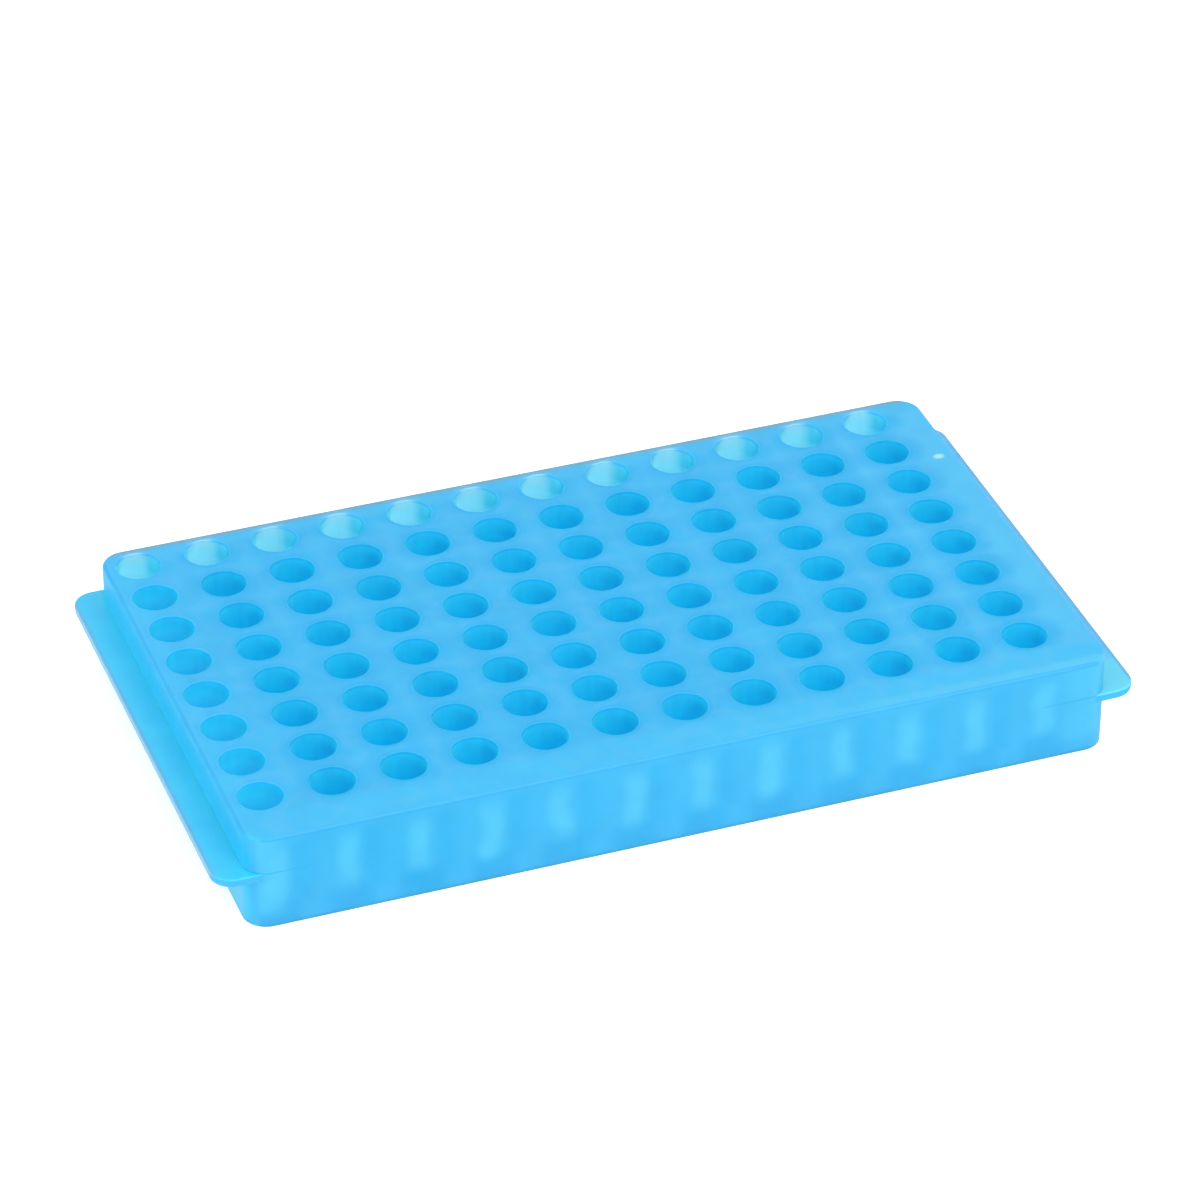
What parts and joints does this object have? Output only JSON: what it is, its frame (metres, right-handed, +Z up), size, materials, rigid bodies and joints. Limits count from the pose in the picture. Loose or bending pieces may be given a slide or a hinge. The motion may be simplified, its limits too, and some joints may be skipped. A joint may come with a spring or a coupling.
{
  "type": "microcentrifuge tube rack",
  "caption": "Low translucent rack with a grid of round blind wells for microcentrifuge tubes, open underneath, with a narrow ledge at each end.",
  "frame": {"origin": "middle of the footprint, on the surface that the rack stands on", "axes": "+X along the rows of wells, towards the wide border; +Y from the front to the back row; +Z up"},
  "size_m": [0.232, 0.1254, 0.0254],
  "materials": {
    "polypropylene": "translucent blue polypropylene, satin"
  },
  "bodies": {
    "root": {"tube_rack": "polypropylene"}
  },
  "joints": []
}
